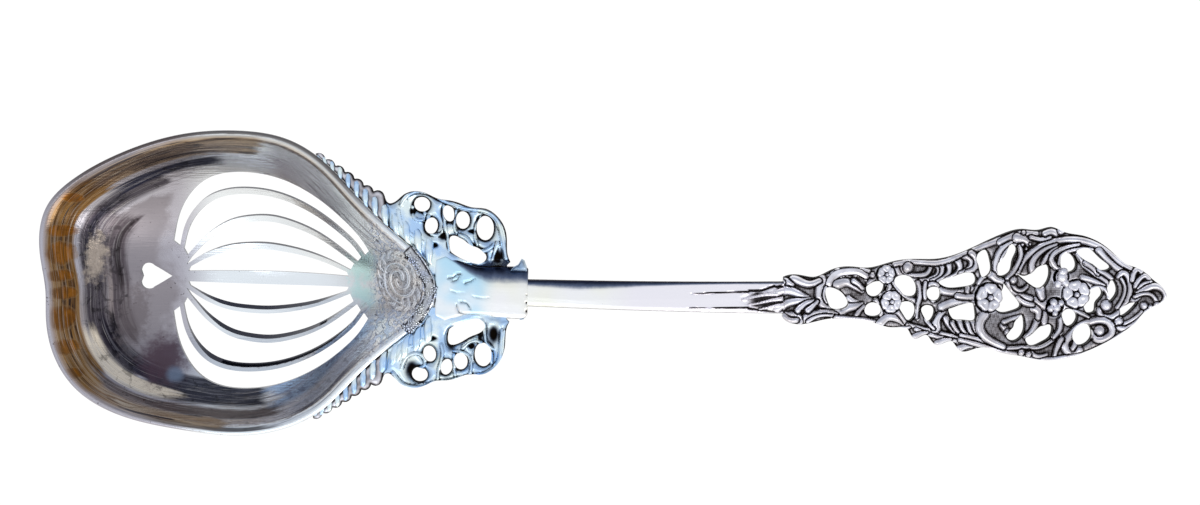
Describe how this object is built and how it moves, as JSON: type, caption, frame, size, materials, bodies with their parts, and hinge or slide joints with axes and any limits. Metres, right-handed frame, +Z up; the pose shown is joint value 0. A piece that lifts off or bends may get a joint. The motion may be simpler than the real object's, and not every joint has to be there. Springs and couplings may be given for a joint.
{
  "type": "pierced serving spoon",
  "caption": "Silver serving spoon: slotted wavy bowl with a heart hole, scrolled pierced wings at the heel, plain shank and a pierced flower-and-scroll handle.",
  "frame": {"origin": "on the rest plane under the middle of the spoon", "axes": "+X from the bowl to the handle's end, +Z up out of the bowl, +Y to the left of the handle"},
  "size_m": [0.229, 0.0612, 0.0244],
  "materials": {
    "bowl_silver": "polished silver with a thin grey film and small dark specks",
    "bright_silver": "bright hand-polished silver with fine scratches",
    "ornament_silver": "polished silver crests over black oxide in the recesses"
  },
  "bodies": {
    "root": {"bowl": "bowl_silver", "cartouche": "ornament_silver", "blossom_band": "ornament_silver", "leaf_border_left": "ornament_silver", "leaf_border_right": "ornament_silver", "scroll_wing_left": "ornament_silver", "scroll_wing_right": "ornament_silver", "neck": "bright_silver", "neck_collar": "bright_silver", "shank": "bright_silver", "shank_leaf": "ornament_silver", "handle_plate": "ornament_silver", "entry_scroll": "ornament_silver", "upper_volute": "ornament_silver", "lower_feather": "ornament_silver", "acanthus_scroll": "ornament_silver", "terminal_scroll": "ornament_silver", "lower_volute": "ornament_silver", "finial": "ornament_silver", "rosette_small": "ornament_silver", "rosette_first": "ornament_silver", "rosette_middle": "ornament_silver", "rosette_large": "ornament_silver", "berry_cluster": "ornament_silver", "bell_bud": "ornament_silver"}
  },
  "joints": []
}
